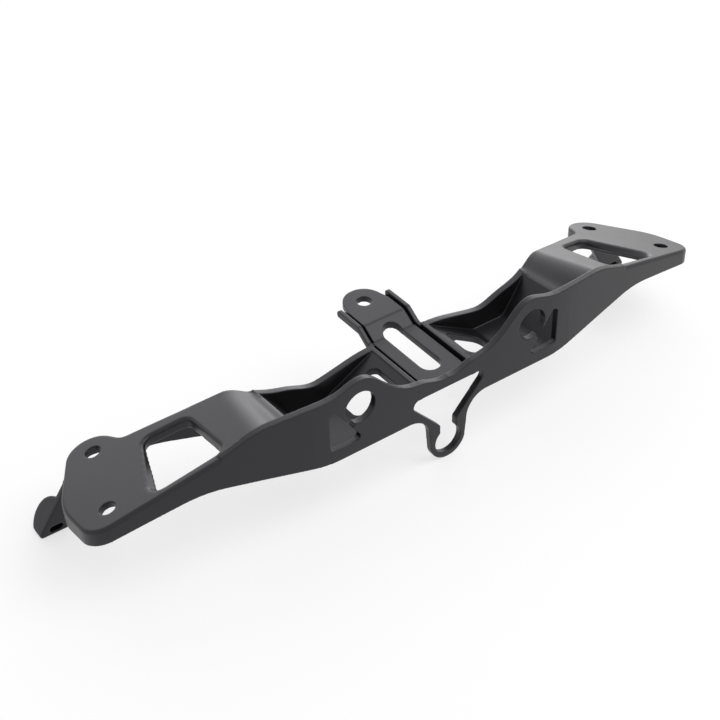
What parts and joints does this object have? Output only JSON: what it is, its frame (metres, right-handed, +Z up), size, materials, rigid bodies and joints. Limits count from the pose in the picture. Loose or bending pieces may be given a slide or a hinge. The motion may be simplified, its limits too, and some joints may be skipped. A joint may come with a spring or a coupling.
{
  "type": "fairing stay",
  "caption": "Cast black fairing stay: a bowed channel bar with tilted bolted end plates, a central bolting lug, deep wells between its walls and a loop hanging below the middle.",
  "frame": {"origin": "centre of the lug's bolt hole, on the lug's top face", "axes": "+X along the length, +Y to the rear where the lug points, +Z up along the lug's bolt hole"},
  "size_m": [0.322, 0.0692, 0.0616],
  "materials": {
    "coated_casting": "satin black coating over a casting"
  },
  "bodies": {
    "root": {"fairing_stay": "coated_casting"}
  },
  "joints": []
}
